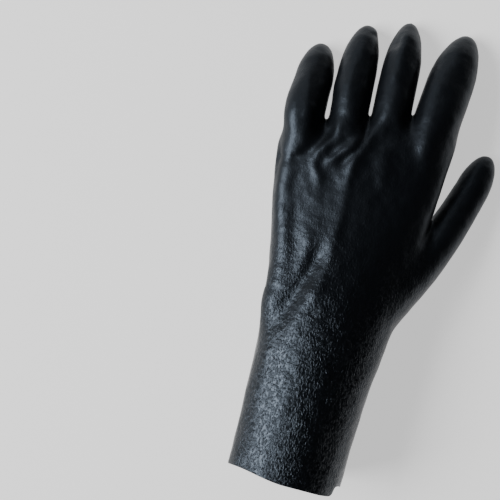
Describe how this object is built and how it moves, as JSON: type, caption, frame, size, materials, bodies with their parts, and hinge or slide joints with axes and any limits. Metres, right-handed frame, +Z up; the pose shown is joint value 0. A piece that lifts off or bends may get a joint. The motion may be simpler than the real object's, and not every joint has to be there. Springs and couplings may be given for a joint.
{
  "type": "pvc coated work glove",
  "caption": "Left-hand work glove, a thin vinyl-coated shell with a round open gauntlet cuff and hollow fingers, lying palm down.",
  "frame": {"origin": "centre of the bounding box in plan, on the table", "axes": "+X towards the thumb, +Y from the hem to the fingertips, +Z up through the back of the hand"},
  "size_m": [0.145, 0.3096, 0.0682],
  "materials": {
    "pvc_coating": "black, semi-gloss, pebbled"
  },
  "bodies": {
    "root": {"cuff": "pvc_coating", "palm": "pvc_coating", "thumb_stall": "pvc_coating", "little_stall": "pvc_coating", "ring_stall": "pvc_coating", "middle_stall": "pvc_coating", "index_stall": "pvc_coating"}
  },
  "joints": []
}
